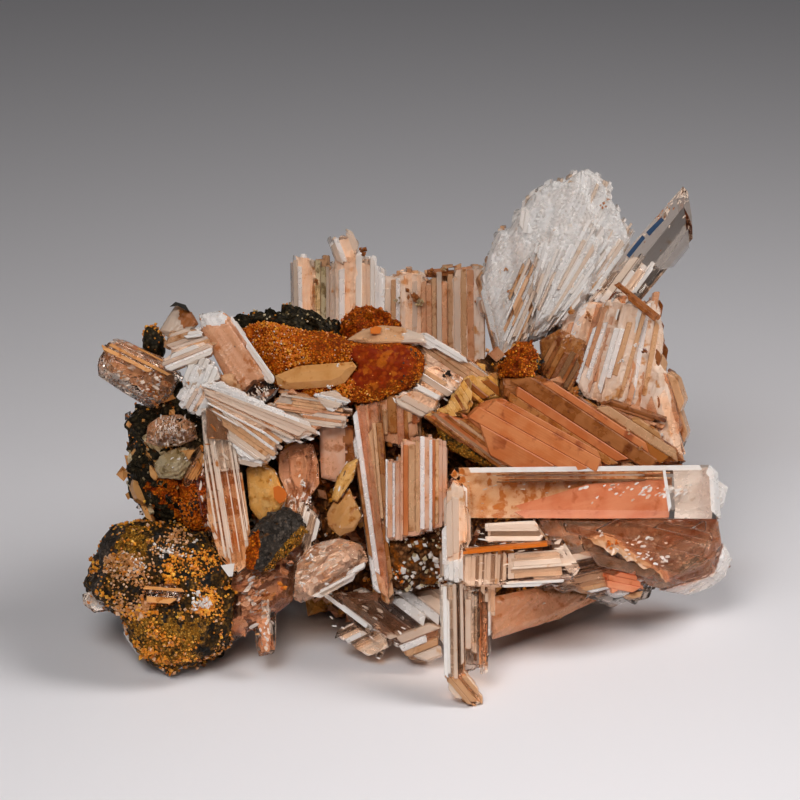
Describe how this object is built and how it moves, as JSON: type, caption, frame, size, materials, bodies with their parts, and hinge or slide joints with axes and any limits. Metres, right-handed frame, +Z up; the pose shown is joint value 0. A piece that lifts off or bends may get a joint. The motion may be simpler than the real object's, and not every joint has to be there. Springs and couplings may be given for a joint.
{
  "type": "selenite crystal cluster on iron oxide matrix",
  "caption": "Cabinet specimen of clear, white and peach selenite blades, prisms and combs grown over orange limonite and dark goethite, with a feather fan and a spear on top.",
  "frame": {"origin": "on the ground, under the middle of the specimen's box", "axes": "+Z up, +X to the viewer's right along the longest way of the specimen, -Y towards the viewer who sees the crystals"},
  "size_m": [0.1306, 0.077, 0.0908],
  "materials": {
    "clear_selenite": "polished",
    "white_selenite": "silky",
    "peach_selenite": "satin",
    "salmon_selenite": "satin",
    "goethite": "dark, lustrous",
    "amber_selenite": "satin",
    "limonite": "rough",
    "gold_druse": "rough, sparkling",
    "iron_matrix": "rough"
  },
  "bodies": {
    "root": {"stepped_tablets": "clear_selenite", "hanging_comb": "white_selenite", "front_slivers": "clear_selenite", "long_prism": "peach_selenite", "salmon_comb": "salmon_selenite", "clear_column": "clear_selenite", "white_fan": "white_selenite", "goethite_shard": "goethite", "round_crystal": "clear_selenite", "peach_blade": "peach_selenite", "white_lump": "white_selenite", "rusty_shard": "amber_selenite", "striated_shards": "white_selenite", "upper_left_prism": "clear_selenite", "peak_crystal": "white_selenite", "cap_rock": "goethite", "left_stub": "clear_selenite", "olive_lump": "amber_selenite", "tapered_blade": "peach_selenite", "flake_stack": "peach_selenite", "leaf_crystal": "peach_selenite", "peach_spike": "peach_selenite", "ochre_wedge": "limonite", "salmon_slab": "salmon_selenite", "grey_columns": "clear_selenite", "taper_crystal": "clear_selenite", "rhomb_crystal": "peach_selenite", "golden_leaf": "amber_selenite", "peach_pane": "peach_selenite", "salmon_pane": "salmon_selenite", "hanging_rod": "clear_selenite", "clear_mass": "clear_selenite", "nodule_prism": "clear_selenite", "nodule_rod": "clear_selenite", "nodule_rim": "clear_selenite", "bottom_blades": "clear_selenite", "spear": "clear_selenite", "striated_cluster": "peach_selenite", "feather_fan": "white_selenite", "cross_band": "clear_selenite", "comb_ridge": "white_selenite", "amber_slabs": "amber_selenite", "limonite_wedge": "limonite", "amber_block": "amber_selenite", "brown_blade": "amber_selenite", "right_foot_blades": "clear_selenite", "smoky_block": "amber_selenite", "pale_lobe": "white_selenite", "rear_blades_left": "clear_selenite", "rear_blades_middle": "peach_selenite", "rear_blades_right": "amber_selenite", "ochre_slab": "limonite", "goethite_crest": "goethite", "rear_limonite": "limonite", "dark_rock": "goethite", "rusty_druse": "limonite", "druse_nodule": "gold_druse", "wall_rock": "goethite", "matrix_core": "iron_matrix"}
  },
  "joints": []
}
